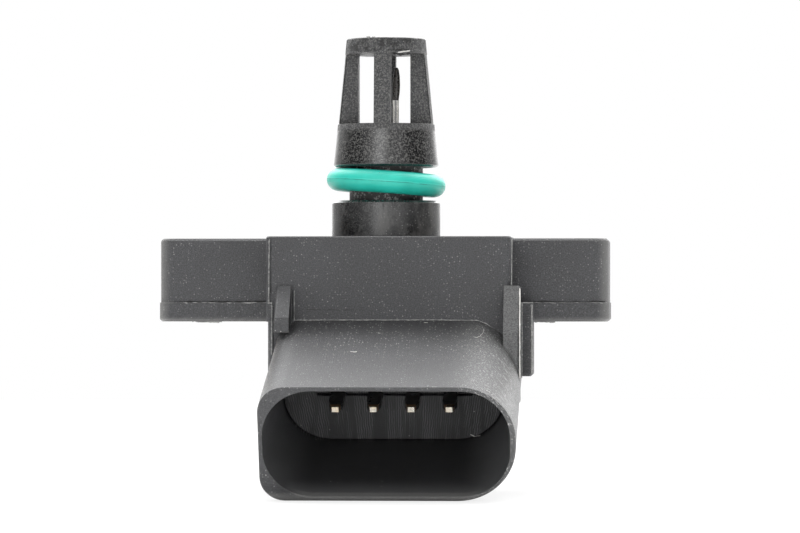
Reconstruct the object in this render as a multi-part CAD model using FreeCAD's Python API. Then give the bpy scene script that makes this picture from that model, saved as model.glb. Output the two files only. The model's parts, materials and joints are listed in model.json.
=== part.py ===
import FreeCAD, Part
import math
import os

# Manifold absolute pressure sensor with an intake air thermistor.
# Lengths are in millimetres and angles in degrees.
# The origin is where the nozzle's axis meets the seating plane. +Z runs up the nozzle,
# the plug opens towards -Y and down, and +X is to the right of someone who faces the plug.

Vec = FreeCAD.Vector
UP = Vec(0, 0, 1)

# Seating flange: two ears, one each side of the block
flange_left = 24.15
flange_right = 24.6
flange_depth = 16.0
flange_thickness = 9.15
ear_drop = 0.15
ear_corner_radius = 1.4
ear_chamfer = 0.25
parting_depth = 7.1
strip_step = 0.2

# Bolt bushings in the ears
bolt_spacing = 38.0
bolt_hole_radius = 2.75
bushing_radius = 4.0
bushing_proud = 0.02

# Block under the nozzle, above the parting plane
block_left = 12.0
block_right = 14.2
block_front = 14.0
block_back = 12.0
block_corner_radius = 0.5
block_chamfer = 0.12

# Lower box that holds the electronics, below the parting plane
box_depth = 15.0
box_corner_radius = 1.5
root_left = 11.25
root_right = 15.35
root_corner_radius = 0.25
shoulder_left = 11.7
shoulder_right = 16.5
shoulder_setback = 2.6
shoulder_thickness = 5.0
shoulder_radius = 0.5

# Nozzle
collar_radius = 5.97
collar_height = 4.08
collar_chamfer = 0.25
neck_radius = 4.05
groove_height = 3.72
skirt_radius = 5.78
skirt_chamfer = 0.22
skirt_height = 4.7
skirt_top_radius = 5.33
cage_step = 0.1
cage_top_radius = 4.37
nozzle_height = 21.9
cap_thickness = 1.65
cap_step = 0.05
cap_chamfer = 0.1

# Cage: windows between two flat side posts, split by a front and a rear rib
cage_bore_radius = 2.95
window_half_width = 2.89
window_offset = -0.14
post_half_depth = 1.5
front_rib_width = 1.83
rear_rib_width = 2.0
gate_mark_width = 1.1
gate_mark_height = 0.16
gate_mark_x = -1.5

# Pressure channel below the cage
channel_radius = 2.2
cage_bore_bottom = 9.0
channel_taper = 1.2
funnel_top = 1.5
funnel_radius = 4.4
funnel_rim = 0.8

# O-ring
ring_section_radius = 1.24
ring_clearance = 0.03
ring_tilt = 3.9
ring_height_above_collar = 2.02

# Plug shroud, drawn in its own frame: u to the right, v upwards, w outwards from the rim's centre
plug_tilt = 21.0
plug_x = 1.95
plug_reach = 29.45
plug_drop = 21.73
shroud_width = 26.62
shroud_height = 12.7
shroud_length = 20.0
shroud_left_inset = 0.45
shroud_left_top_radius = 2.9
shroud_left_bottom_radius = 2.6
shroud_right_top_radius = 5.8
shroud_right_bottom_radius = 6.1
shroud_corner_gap = 0.3
shroud_chamfer = 0.1
wall_left = 0.42
wall_right = 0.6
wall_top = 0.42
wall_bottom = 0.5
cavity_depth = 14.0
cavity_radius = 5.1
cavity_draft_side = 0.95
cavity_draft_height = 0.38
blade_slot_depth = 0.6
blade_slot_height = 0.3
blade_slot_width = 16.6
floor_groove_width = 0.2
floor_groove_depth = 0.8
cut_overlap = 0.1

# Catch for the plug's latch, under the shroud
catch_width = 6.4
catch_height = 1.3
catch_setback = 3.2
catch_ramp = 3.6
catch_flat = 0.8

# Gusset ribs between the block and the shroud
rib_left_width = 1.58
rib_right_width = 1.76
rib_left_inset = 0.39
rib_right_inset = 0.12
rib_top_depth = 5.3
rib_ledge = 0.3
rib_left_reach = 3.2
rib_right_reach = 2.6
rib_left_shoulder_depth = 8.7
rib_right_shoulder_depth = 10.3
rib_left_foot_depth = 10.28
rib_right_foot_depth = 17.7
rib_corner_radius = 0.3

# Terminals
terminal_pitch = 4.0
terminal_count = 4
blade_width = 1.5
blade_thickness = 0.8
blade_tip_width = 0.7
blade_tip_thickness = 0.55
blade_taper = 1.5
blade_recess_from_rim = 9.4
riser_inset = 1.6
pad_length = 3.4
bend_radius = 0.5

# Electronics compartment, open at the underside
compartment_left = 9.2
compartment_right = 11.7
compartment_front = 10.6
compartment_back = 9.4
compartment_ceiling = 4.0
compartment_radius = 1.5
shelf_length = 3.4
shelf_gap_to_board = 0.9

# Cover on the underside
cover_thickness = 1.5
cover_ledge = 1.0
cover_gap = 0.15
cover_adhesive_thickness = 0.1
cover_chamfer = 0.25

# Circuit board and what it carries
board_adhesive_thickness = 0.1
board_adhesive_width = 1.0
board_adhesive_gap = 0.2
board_thickness = 0.64
board_left = 7.0
board_right = 9.6
board_front = 6.3
board_back = 8.0
cell_ring_radius = 3.1
cell_ring_wall = 0.6
cell_ring_height = 1.3
cell_gel_height = 1.05
die_size = 1.9
die_thickness = 0.35
pedestal_thickness = 0.55
chip_length = 3.2
chip_width = 2.6
chip_thickness = 0.6
chip_x = 4.6
chip_y = 3.4
capacitor_length = 1.6
capacitor_width = 0.8
capacitor_height = 0.8
capacitor_x = -4.2
capacitor_y = 5.6
capacitor_pitch = 2.4

# Thermistor
lead_radius = 0.13
lead_spacing = 0.44
lead_x = 1.05
bead_gap_to_cap = 1.45
bead_length = 3.6
bead_outline = [(0.33, 0), (0.42, 0.26), (0.43, 0.48), (0.36, 0.75), (0.24, 0.93), (0.1, 1)]
bead_tilt = 2.0
lead_bend_top = 2.0
lead_foot_x = 3.55
lead_foot_half_spacing = 0.6
lead_foot_height = 1.5
mitre_block = 6.0
solder_radius = 0.5
solder_tip_radius = 0.2
solder_height = 0.4

# Bond wires from the terminals to the board
bond_width = 0.4
bond_thickness = 0.12
bond_drop = 0.5
bond_inset = 0.7

# Derived places
bolt_x = bolt_spacing / 2
ear_top = -ear_drop
ear_bottom = -flange_thickness
box_bottom = -box_depth
ceiling_z = -compartment_ceiling
board_top = ceiling_z - board_adhesive_thickness
board_underside = board_top - board_thickness
skirt_bottom = collar_height + groove_height
cage_bottom = skirt_bottom + skirt_height
window_top = nozzle_height - cap_thickness
bead_top = window_top - bead_gap_to_cap
bead_bottom = bead_top - bead_length
neck_fit_radius = neck_radius + ring_clearance
rim_centre = Vec(plug_x, -plug_reach, -plug_drop)
plug_place = FreeCAD.Placement(rim_centre, FreeCAD.Rotation(Vec(1, 0, 0), 90 + plug_tilt))
shelf_underside = board_underside - shelf_gap_to_board
cover_top = box_bottom + cover_thickness


def box(x0, x1, y0, y1, z0, z1):
    """A block between two corners."""
    return Part.makeBox(x1 - x0, y1 - y0, z1 - z0, Vec(x0, y0, z0))


def disc(radius, x, y, z0, z1):
    """A cylinder along Z between two heights."""
    return Part.makeCylinder(radius, z1 - z0, Vec(x, y, z0))


def straight_edges(shape, direction):
    """The straight edges of a shape that run along a direction."""
    found = []
    for edge in shape.Edges:
        if isinstance(edge.Curve, Part.Line):
            if abs(abs(edge.Curve.Direction.dot(direction)) - 1) < 1e-6:
                found.append(edge)
    return found


def edges_at_height(shape, z):
    """The edges of a shape that lie in one level plane."""
    return [e for e in shape.Edges if abs(e.BoundBox.ZMin - z) < 1e-6 and abs(e.BoundBox.ZMax - z) < 1e-6]


def rounded_box(x0, x1, y0, y1, z0, z1, radius):
    """A block with its four upright edges rounded."""
    block = box(x0, x1, y0, y1, z0, z1)
    return block.makeFillet(radius, straight_edges(block, UP))


def outline(x0, x1, y0, y1, radii, z=0.0):
    """A closed outline with a radius for each corner, counted from the upper right one."""
    upper_right, upper_left, lower_left, lower_right = radii
    corners = [
        (x1 - upper_right, y1 - upper_right, upper_right, 0),
        (x0 + upper_left, y1 - upper_left, upper_left, 90),
        (x0 + lower_left, y0 + lower_left, lower_left, 180),
        (x1 - lower_right, y0 + lower_right, lower_right, 270),
    ]
    arcs = [Part.makeCircle(r, Vec(x, y, z), UP, start, start + 90) for x, y, r, start in corners]
    edges = []
    for arc, following in zip(arcs, arcs[1:] + arcs[:1]):
        edges.append(arc)
        edges.append(Part.makeLine(arc.Vertexes[-1].Point, following.Vertexes[0].Point))
    return Part.Wire(edges)


def drafted(near, far):
    """A solid between two outlines in parallel planes whose arcs have the same radii."""
    sides = []
    for edge, match in zip(near.OrderedEdges, far.OrderedEdges):
        if isinstance(edge.Curve, Part.Line):
            corners = [*edge.Vertexes, *match.Vertexes[::-1], edge.Vertexes[0]]
            sides.append(Part.Face(Part.makePolygon([corner.Point for corner in corners])))
        else:
            sides.append(edge.extrude(match.Vertexes[0].Point - edge.Vertexes[0].Point))
    shell = Part.makeShell(sides + [Part.Face(near), Part.Face(far)])
    shell.sewShape()
    return Part.makeSolid(shell)


def prism(points, direction):
    """A solid swept straight from a polygon."""
    return Part.Face(Part.makePolygon(points + points[:1])).extrude(direction)


def revolved(points):
    """A solid of revolution about Z from (radius, height) points."""
    return prism_face(points).revolve(Vec(0, 0, 0), UP, 360)


def prism_face(points):
    """A face in the XZ plane from (radius, height) points."""
    corners = [Vec(r, 0, z) for r, z in points]
    return Part.Face(Part.makePolygon(corners + corners[:1]))


def fused(first, *others):
    """One solid made of several, without the seams between them."""
    return first.fuse(list(others)).removeSplitter()


def in_plug_frame(shape):
    """A shape drawn in the shroud's frame, moved to its place on the sensor."""
    shape.Placement = plug_place.multiply(shape.Placement)
    return shape


def plug_point(u, v, w):
    """A point of the shroud's frame in the sensor's frame."""
    return plug_place.multVec(Vec(u, v, w))


# Housing

def make_ear(side):
    """One ear of the flange, with the lower strip that the other half of the mould leaves."""
    end = flange_right if side > 0 else -flange_left
    inner = 0.0
    half = flange_depth / 2
    x0, x1 = sorted((inner, end))
    upper = rounded_box(x0, x1, -half, half, -parting_depth, ear_top, ear_corner_radius)
    upper = upper.makeChamfer(ear_chamfer, edges_at_height(upper, ear_top))
    grown = end + side * strip_step / 2
    x0, x1 = sorted((inner, grown))
    reach = half + strip_step
    lower = rounded_box(x0, x1, -reach, reach, ear_bottom, -parting_depth, ear_corner_radius)
    lower = lower.makeChamfer(ear_chamfer, edges_at_height(lower, ear_bottom))
    return fused(upper, lower)


def make_block():
    """The block that carries the nozzle, above the parting plane in front and down to the box behind."""
    block = rounded_box(
        -block_left, block_right, -block_front, block_back, ear_bottom, 0, block_corner_radius
    )
    return block.makeChamfer(block_chamfer, edges_at_height(block, 0))


def make_lower_box():
    """The box that holds the electronics, with its stepped shoulders beside the plug."""
    main = rounded_box(
        -block_left, block_right, -block_front + 1, block_back, box_bottom, -parting_depth, box_corner_radius
    )
    root = rounded_box(
        -root_left, root_right, -block_front, -block_front + shoulder_setback + 1,
        box_bottom, -parting_depth, root_corner_radius,
    )
    shoulder_y = -block_front + shoulder_setback
    shoulder = rounded_box(
        -shoulder_left, shoulder_right, shoulder_y, shoulder_y + shoulder_thickness,
        box_bottom, -parting_depth, shoulder_radius,
    )
    shoulder = shoulder.makeChamfer(ear_chamfer, edges_at_height(shoulder, box_bottom))
    return fused(main, root, shoulder)


def make_nozzle():
    """The nozzle's outside: collar, groove, skirt, tapered cage and closed cap."""
    cage_base_radius = skirt_top_radius - cage_step
    cage_top = cage_base_radius + (cage_top_radius - cage_base_radius) * (
        (window_top - cage_bottom) / (nozzle_height - cage_bottom)
    )
    profile = [
        (0, -1),
        (collar_radius, -1),
        (collar_radius, collar_height - collar_chamfer),
        (collar_radius - collar_chamfer, collar_height),
        (neck_radius, collar_height),
        (neck_radius, skirt_bottom),
        (skirt_radius - skirt_chamfer, skirt_bottom),
        (skirt_radius, skirt_bottom + skirt_chamfer),
        (skirt_top_radius, cage_bottom),
        (cage_base_radius, cage_bottom),
        (cage_top - cap_step, window_top),
        (cage_top, window_top),
        (cage_top_radius, nozzle_height - cap_chamfer),
        (cage_top_radius - cap_chamfer, nozzle_height),
        (0, nozzle_height),
    ]
    return revolved(profile)


def make_gate_mark():
    """The stub that the moulding gate left on the cap."""
    foot = Vec(gate_mark_x, 0, nozzle_height - cut_overlap)
    return Part.makeCone(gate_mark_width / 2, gate_mark_width / 3, gate_mark_height + cut_overlap, foot)


def make_windows():
    """What is cut from the cage round its ribs and its two flat posts."""
    cuts = []
    for front, rib in ((-1, front_rib_width), (1, rear_rib_width)):
        for side in (-1, 1):
            near = window_offset + side * rib / 2
            far = window_offset + side * window_half_width
            cuts.append(cage_cut(near, far, 0, front * skirt_radius))
            cuts.append(cage_cut(far, side * skirt_radius, front * post_half_depth, front * skirt_radius))
    return cuts


def cage_cut(x0, x1, y0, y1):
    """A box over the cage's height, between two corners in any order."""
    return box(*sorted((x0, x1)), *sorted((y0, y1)), cage_bottom, window_top)


def make_channel():
    """The bore inside the cage, the pressure channel and the funnel that it opens into."""
    profile = [
        (0, ceiling_z),
        (funnel_radius, ceiling_z),
        (funnel_radius, ceiling_z + funnel_rim),
        (channel_radius, funnel_top),
        (channel_radius, cage_bore_bottom - channel_taper),
        (cage_bore_radius, cage_bore_bottom),
        (cage_bore_radius, window_top),
        (0, window_top),
    ]
    return revolved(profile)


def make_shroud():
    """The shroud's outside, square on its left side and round on its right."""
    half_width = shroud_width / 2
    half_height = shroud_height / 2
    largest = (shroud_height - shroud_corner_gap) / 2
    left_radii = (shroud_left_top_radius, shroud_left_bottom_radius)
    radii = (min(shroud_right_top_radius, largest), *left_radii, min(shroud_right_bottom_radius, largest))
    root_left_edge = shroud_left_inset - half_width
    root = outline(root_left_edge, half_width, -half_height, half_height, radii, -shroud_length)
    rim = outline(-half_width, half_width, -half_height, half_height, radii)
    body = drafted(rim, root)
    body = body.makeChamfer(shroud_chamfer, edges_at_height(body, 0))
    return in_plug_frame(body)


def cavity_corner():
    """The cavity's corner radius, limited by the height at its floor."""
    floor_height = shroud_height - wall_top - wall_bottom - 2 * cavity_draft_height
    return min(cavity_radius, (floor_height - shroud_corner_gap) / 2)


def cavity_outline(w, inset_side, inset_height, radius):
    """The cavity's outline at one depth."""
    return outline(
        -shroud_width / 2 + wall_left + inset_side,
        shroud_width / 2 - wall_right - inset_side,
        -shroud_height / 2 + wall_bottom + inset_height,
        shroud_height / 2 - wall_top - inset_height,
        [radius] * 4, w,
    )


def make_cavity():
    """The space for the plug: drafted walls, a groove round the floor and a slot along the blades."""
    corner = cavity_corner()
    mouth = cavity_outline(0, 0, 0, corner)
    floor = cavity_outline(-cavity_depth, cavity_draft_side, cavity_draft_height, corner)
    space = drafted(mouth, floor)
    start = cut_overlap - cavity_depth
    slot = box(
        -blade_slot_width / 2, blade_slot_width / 2, -blade_slot_height, 0,
        -cavity_depth - blade_slot_depth, start,
    )
    outer = cavity_outline(start, cavity_draft_side, cavity_draft_height, corner)
    inner = cavity_outline(
        start, cavity_draft_side + floor_groove_width, cavity_draft_height + floor_groove_width,
        corner - floor_groove_width,
    )
    down = Vec(0, 0, -floor_groove_depth - cut_overlap)
    groove = Part.Face(outer).extrude(down).cut(Part.Face(inner).extrude(down))
    return in_plug_frame(fused(space, slot, groove))


def make_catch():
    """The ramped catch under the shroud that the plug's latch snaps behind."""
    base = -shroud_height / 2
    front = -catch_setback
    profile = [
        Vec(0, base + 0.2, front),
        Vec(0, base, front),
        Vec(0, base - catch_height, front - catch_ramp),
        Vec(0, base - catch_height, front - catch_ramp - catch_flat),
        Vec(0, base + 0.2, front - catch_ramp - catch_flat),
    ]
    catch = prism(profile, Vec(catch_width, 0, 0))
    catch.translate(Vec(-catch_width / 2, 0, 0))
    return in_plug_frame(catch)


def make_rib(x0, width, reach, shoulder_depth, foot_depth, outer):
    """One gusset rib from its left edge on, with its outer top corner rounded."""
    front = -block_front
    profile = [
        Vec(x0, front + 1, -rib_top_depth),
        Vec(x0, front - rib_ledge, -rib_top_depth),
        Vec(x0, front - reach, -shoulder_depth),
        Vec(x0, front - reach, -foot_depth),
        Vec(x0, front + 1, -foot_depth),
    ]
    rib = prism(profile, Vec(width, 0, 0))
    top = [e for e in straight_edges(rib, Vec(0, 1, 0)) if abs(e.BoundBox.XMin - outer) < 1e-6]
    top = [e for e in top if abs(e.BoundBox.ZMax + rib_top_depth) < 1e-6]
    slope = Vec(0, rib_ledge - reach, rib_top_depth - shoulder_depth).normalize()
    top += [e for e in straight_edges(rib, slope) if abs(e.BoundBox.XMin - outer) < 1e-6]
    return rib.makeFillet(rib_corner_radius, top)


def make_left_rib():
    """The rib on the shroud's square side. It ends on the shroud and overhangs its corner."""
    outer = rib_left_inset - root_left
    return make_rib(
        outer, rib_left_width, rib_left_reach, rib_left_shoulder_depth, rib_left_foot_depth, outer
    )


def make_right_rib():
    """The longer rib, which runs down the shroud's round corner."""
    outer = root_right - rib_right_inset
    return make_rib(
        outer - rib_right_width, rib_right_width, rib_right_reach, rib_right_shoulder_depth,
        rib_right_foot_depth, outer,
    )


def make_compartment():
    """The electronics compartment, with the shelf under the terminals' pads left standing."""
    room = rounded_box(
        -compartment_left, compartment_right, -compartment_front, compartment_back,
        box_bottom, ceiling_z, compartment_radius,
    )
    shelf = box(
        -compartment_left - 1, compartment_right + 1,
        -compartment_front - 1, -compartment_front + shelf_length,
        shelf_underside, ceiling_z + 1,
    )
    seat_top = cover_top + cover_adhesive_thickness
    seat = rounded_box(*cover_span(cover_gap), box_bottom, seat_top, compartment_radius)
    return fused(room.cut(shelf), seat)


def cover_span(margin):
    """The cover's corners in X and Y, with a margin round it."""
    return (
        -compartment_left - cover_ledge - margin,
        compartment_right + cover_ledge + margin,
        -compartment_front - cover_ledge - margin,
        compartment_back + cover_ledge + margin,
    )


def make_housing(inserts):
    """The whole moulding, with the room for what is moulded or pressed into it."""
    body = fused(
        make_block(), make_lower_box(), make_ear(-1), make_ear(1), make_nozzle(), make_gate_mark(),
        make_shroud(), make_catch(), make_left_rib(), make_right_rib(),
    )
    body = body.cut([make_channel(), make_cavity(), make_compartment()] + make_windows() + inserts)
    return body.removeSplitter()


# Pieces in the flange and on the nozzle

def make_bushing(side):
    """A metal sleeve that takes the bolt's clamping force."""
    bottom = ear_bottom - bushing_proud
    sleeve = disc(bushing_radius, side * bolt_x, 0, bottom, ear_top)
    bore = disc(bolt_hole_radius, side * bolt_x, 0, bottom, ear_top)
    return sleeve.cut(bore)


def make_bushing_seat(side):
    """The sleeve's outside, as the moulding closes round it."""
    return disc(bushing_radius, side * bolt_x, 0, ear_bottom - bushing_proud, 0)


def make_o_ring():
    """The sealing ring, tilted in its groove."""
    ring = Part.makeTorus(neck_fit_radius + ring_section_radius, ring_section_radius)
    ring.rotate(Vec(0, 0, 0), Vec(0, 1, 0), ring_tilt)
    ring.translate(Vec(0, 0, collar_height + ring_height_above_collar))
    return ring


# Terminals

def strip(points, thickness, width, x, bend=True):
    """A strip along points of the YZ plane, with its bends rounded or left sharp."""
    half = thickness / 2
    sides = {1: [], -1: []}
    for i, (y, z) in enumerate(points):
        before = points[max(i - 1, 0)]
        after = points[min(i + 1, len(points) - 1)]
        directions = []
        for start, end in ((before, (y, z)), ((y, z), after)):
            run = math.hypot(end[0] - start[0], end[1] - start[1])
            if run > 0:
                directions.append(((end[0] - start[0]) / run, (end[1] - start[1]) / run))
        first, last = directions[0], directions[-1]
        share = 1 + first[0] * last[0] + first[1] * last[1]
        normal_y = -(first[1] + last[1]) / share
        normal_z = (first[0] + last[0]) / share
        for side, line in sides.items():
            line.append(Vec(x - width / 2, y + side * half * normal_y, z + side * half * normal_z))
    solid = prism(sides[1] + sides[-1][::-1], Vec(width, 0, 0))
    for i in range(1, len(points) - 1 if bend else 1):
        corners = [sides[1][i], sides[-1][i]]
        turn = cross(points[i - 1], points[i], points[i + 1])
        inner = corners[0] if turn > 0 else corners[1]
        outer = corners[1] if turn > 0 else corners[0]
        solid = solid.makeFillet(bend_radius, edges_through(solid, inner))
        solid = solid.makeFillet(bend_radius + thickness, edges_through(solid, outer))
    return solid


def cross(a, b, c):
    """Positive where the path a, b, c turns left."""
    return (b[0] - a[0]) * (c[1] - b[1]) - (b[1] - a[1]) * (c[0] - b[0])


def edges_through(shape, point):
    """The edge along X that starts at a point."""
    found = straight_edges(shape, Vec(1, 0, 0))
    return [e for e in found if min(v.Point.distanceToPoint(point) for v in e.Vertexes) < 1e-4]


def terminal_x(index):
    """Where a terminal stands across the plug."""
    return plug_x + (index - (terminal_count - 1) / 2) * terminal_pitch


def pad_inner_y():
    """How far into the compartment the terminals' pads reach."""
    return -compartment_front + pad_length - shelf_gap_to_board / 2


def make_terminal(index):
    """A contact blade with a tapered tip, bent inside the wall up to its bonding pad."""
    x = terminal_x(index)
    taper_start = plug_point(0, 0, -blade_recess_from_rim - blade_taper)
    riser_y = -block_front + riser_inset
    slope = math.tan(math.radians(plug_tilt))
    foot = (riser_y, taper_start.z + (riser_y - taper_start.y) * slope)
    pad_z = shelf_underside + blade_thickness / 2
    path = [(taper_start.y, taper_start.z), foot, (riser_y, pad_z), (pad_inner_y(), pad_z)]
    body = strip(path, blade_thickness, blade_width, x)
    base = tip_outline(blade_width, blade_thickness, -blade_recess_from_rim - blade_taper)
    end = tip_outline(blade_tip_width, blade_tip_thickness, -blade_recess_from_rim)
    tip = Part.makeLoft([base, end], True, True)
    tip.translate(Vec(x - plug_x, 0, 0))
    return fused(body, tip)


def tip_outline(width, thickness, w):
    """A rectangle across the blade, in the sensor's frame."""
    corners = [(-1, -1), (1, -1), (1, 1), (-1, 1), (-1, -1)]
    return Part.makePolygon([plug_point(a * width / 2, b * thickness / 2, w) for a, b in corners])


# Electronics

def make_cover():
    """The plate that closes the compartment, flush with the box's underside."""
    plate = rounded_box(*cover_span(0), box_bottom, cover_top, compartment_radius)
    return plate.makeChamfer(cover_chamfer, edges_at_height(plate, box_bottom))


def make_cover_adhesive():
    """The glue line between the cover and its ledge."""
    film = rounded_box(*cover_span(0), cover_top, cover_top + cover_adhesive_thickness, compartment_radius)
    room = rounded_box(
        -compartment_left, compartment_right, -compartment_front, compartment_back,
        cover_top - 1, cover_top + 1, compartment_radius,
    )
    return film.cut(room)


def make_board(leads):
    """The ceramic board, with the two holes for the thermistor's leads."""
    board = box(-board_left, board_right, -board_front, board_back, board_underside, board_top)
    return board.cut(leads)


def make_board_adhesive():
    """The frame that seals the board to the ceiling round the funnel."""
    inner = funnel_radius + board_adhesive_gap
    outer = inner + board_adhesive_width
    frame = box(-outer, outer, -outer, outer, board_top, ceiling_z)
    return frame.cut(box(-inner, inner, -inner, inner, board_top, ceiling_z))


def make_cell_ring():
    """The ring that keeps the gel over the pressure cell."""
    top = board_top + cell_ring_height
    ring = disc(cell_ring_radius, 0, 0, board_top, top)
    return ring.cut(disc(cell_ring_radius - cell_ring_wall, 0, 0, board_top, top))


def centred_block(size, z0, z1):
    """A square block on the nozzle's axis."""
    half = size / 2
    return box(-half, half, -half, half, z0, z1)


def make_pedestal():
    """The glass base of the pressure cell."""
    return centred_block(die_size, board_top, board_top + pedestal_thickness)


def make_die():
    """The silicon die on its glass base."""
    bottom = board_top + pedestal_thickness
    return centred_block(die_size, bottom, bottom + die_thickness)


def make_gel(cell):
    """The gel that fills the ring round the pressure cell."""
    gel = disc(cell_ring_radius - cell_ring_wall, 0, 0, board_top, board_top + cell_gel_height)
    return gel.cut(cell)


def make_signal_chip():
    """The evaluation chip on the board's underside."""
    return box(
        chip_x - chip_length / 2, chip_x + chip_length / 2, chip_y - chip_width / 2, chip_y + chip_width / 2,
        board_underside - chip_thickness, board_underside,
    )


def make_capacitor(index):
    """One of the chip capacitors beside the evaluation chip."""
    x = capacitor_x + index * capacitor_pitch
    return box(
        x - capacitor_width / 2, x + capacitor_width / 2,
        capacitor_y - capacitor_length / 2, capacitor_y + capacitor_length / 2,
        board_underside - capacitor_height, board_underside,
    )


# Thermistor

def mitred_wire(points, radius):
    """A round wire along straight runs that meet in mitres."""
    runs = []
    for start, end in zip(points, points[1:]):
        heading = (end - start).normalize()
        length = start.distanceToPoint(end) + 2 * radius
        runs.append(Part.makeCylinder(radius, length, start - heading * radius, heading))
    for i in (0, len(runs) - 1):
        tip = points[0] if i == 0 else points[-1]
        towards = (tip - points[1 if i == 0 else -2]).normalize()
        runs[i] = runs[i].cut(half_space(tip, towards))
    for i in range(1, len(points) - 1):
        before = (points[i] - points[i - 1]).normalize()
        after = (points[i + 1] - points[i]).normalize()
        runs[i - 1] = runs[i - 1].cut(half_space(points[i], before + after))
        runs[i] = runs[i].cut(half_space(points[i], -(before + after)))
    return fused(*runs)


def half_space(point, towards):
    """A block that stands on a plane through a point, for cutting what lies beyond it."""
    block = Part.makeBox(mitre_block, mitre_block, mitre_block, Vec(-mitre_block / 2, -mitre_block / 2, 0))
    block.Placement = FreeCAD.Placement(point, FreeCAD.Rotation(UP, towards))
    return block


def make_lead(side, bead):
    """A thermistor lead, from the bead down the channel, out through the funnel and through the board."""
    x = lead_x + side * lead_spacing / 2
    foot_y = side * lead_foot_half_spacing
    points = [
        Vec(x, 0, bead_bottom + lead_radius),
        Vec(x, 0, lead_bend_top),
        Vec(lead_foot_x, foot_y, board_top + lead_foot_height),
        Vec(lead_foot_x, foot_y, board_underside),
    ]
    return mitred_wire(points, lead_radius).cut(bead)


def make_bead():
    """The coated thermistor: a slim drop on the ends of its leads."""
    profile = [(0, bead_bottom)]
    profile += [(radius, bead_bottom + share * bead_length) for radius, share in bead_outline]
    profile.append((0, bead_top))
    drop = revolved(profile)
    drop.rotate(Vec(0, 0, bead_bottom), Vec(0, 1, 0), bead_tilt)
    drop.translate(Vec(lead_x, 0, 0))
    return drop


def make_lead_solder():
    """The two solder cones over the leads' ends, under the board."""
    cones = []
    for side in (-1, 1):
        foot = Vec(lead_foot_x, side * lead_foot_half_spacing, board_underside)
        cones.append(Part.makeCone(solder_radius, solder_tip_radius, solder_height, foot, Vec(0, 0, -1)))
    return Part.makeCompound(cones)


def make_bond_wires(neighbours):
    """A looped ribbon from each terminal's pad to the board."""
    pad_y = pad_inner_y() - bond_inset
    board_y = bond_inset - board_front
    profile = [
        (pad_y, shelf_underside - bond_thickness / 2),
        (pad_y + bond_inset, shelf_underside - bond_thickness / 2),
        ((pad_y + board_y) / 2, shelf_underside - bond_drop),
        (board_y - bond_inset, board_underside - bond_thickness / 2),
        (board_y, board_underside - bond_thickness / 2),
    ]
    ribbons = []
    for index in range(terminal_count):
        ribbon = strip(profile, bond_thickness, bond_width, terminal_x(index), bend=False)
        ribbons.append(ribbon.cut(neighbours))
    return Part.makeCompound(ribbons)


def make_parts():
    """Every piece of the sensor by name."""
    bead = make_bead()
    leads = [make_lead(side, bead) for side in (-1, 1)]
    terminals = [make_terminal(index) for index in range(terminal_count)]
    inserts = terminals + [make_bushing_seat(side) for side in (-1, 1)]
    board = make_board(leads)
    cell = [make_pedestal(), make_die()]
    parts = {
        "housing": make_housing(inserts),
        "cover": make_cover(),
        "cover_adhesive": make_cover_adhesive(),
        "o_ring": make_o_ring(),
        "bolt_bushing_left": make_bushing(-1),
        "bolt_bushing_right": make_bushing(1),
        "circuit_board": board,
        "board_adhesive": make_board_adhesive(),
        "cell_ring": make_cell_ring(),
        "glass_pedestal": cell[0],
        "pressure_die": cell[1],
        "cell_gel": make_gel(cell),
        "signal_chip": make_signal_chip(),
        "thermistor_bead": bead,
        "thermistor_lead_1": leads[0],
        "thermistor_lead_2": leads[1],
        "lead_solder": make_lead_solder(),
        "bond_wires": make_bond_wires(terminals + [board]),
    }
    for index, terminal in enumerate(terminals):
        parts[f"terminal_{index + 1}"] = terminal
    for index in range(3):
        parts[f"chip_capacitor_{index + 1}"] = make_capacitor(index)
    return parts


def main():
    os.makedirs("parts", exist_ok=True)
    for name, shape in make_parts().items():
        shape.exportStep(f"parts/{name}.step")


main()
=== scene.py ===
import json
import math
import random

import bpy
from mathutils import Matrix, Vector


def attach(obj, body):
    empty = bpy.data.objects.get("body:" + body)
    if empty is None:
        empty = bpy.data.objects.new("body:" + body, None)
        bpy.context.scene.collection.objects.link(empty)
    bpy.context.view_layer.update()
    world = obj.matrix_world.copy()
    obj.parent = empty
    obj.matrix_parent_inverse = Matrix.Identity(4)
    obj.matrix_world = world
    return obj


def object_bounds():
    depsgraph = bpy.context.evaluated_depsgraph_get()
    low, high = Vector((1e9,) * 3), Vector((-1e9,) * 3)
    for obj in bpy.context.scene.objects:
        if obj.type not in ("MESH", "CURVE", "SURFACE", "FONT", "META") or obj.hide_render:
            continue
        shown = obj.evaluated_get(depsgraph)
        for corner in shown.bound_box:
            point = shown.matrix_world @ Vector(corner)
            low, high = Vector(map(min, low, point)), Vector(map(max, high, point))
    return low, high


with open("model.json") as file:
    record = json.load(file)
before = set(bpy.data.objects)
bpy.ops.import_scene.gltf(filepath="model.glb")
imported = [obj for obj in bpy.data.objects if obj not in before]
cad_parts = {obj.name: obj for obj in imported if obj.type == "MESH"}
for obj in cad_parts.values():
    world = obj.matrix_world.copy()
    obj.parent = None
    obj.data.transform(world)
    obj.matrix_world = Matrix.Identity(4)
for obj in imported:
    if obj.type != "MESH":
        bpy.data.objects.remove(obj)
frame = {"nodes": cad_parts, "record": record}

# Dress for a manifold absolute pressure sensor: finishes with some painted light and shade, mould flash,
# painted edge lines, light and camera.
# Places are in millimetres of the part's own frame: nozzle axis at x = y = 0, seating plane at z = 0,
# the plug towards -Y. MM turns them into metres.
MM = 0.001
CAD_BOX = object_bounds()

# Camera, fitted to the photograph's 800 by 533 frame
IMAGE_WIDTH = 800
IMAGE_HEIGHT = 533
CAMERA_DISTANCE = 450.0
CAMERA_AZIMUTH = 3.5
PIXELS_PER_MM = 9.07
AXIS_COLUMN = 386.2
EYE_LEVEL_ROW = 300.0
EYE_LEVEL_Z = -6.82
SENSOR_WIDTH = 36.0

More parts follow.
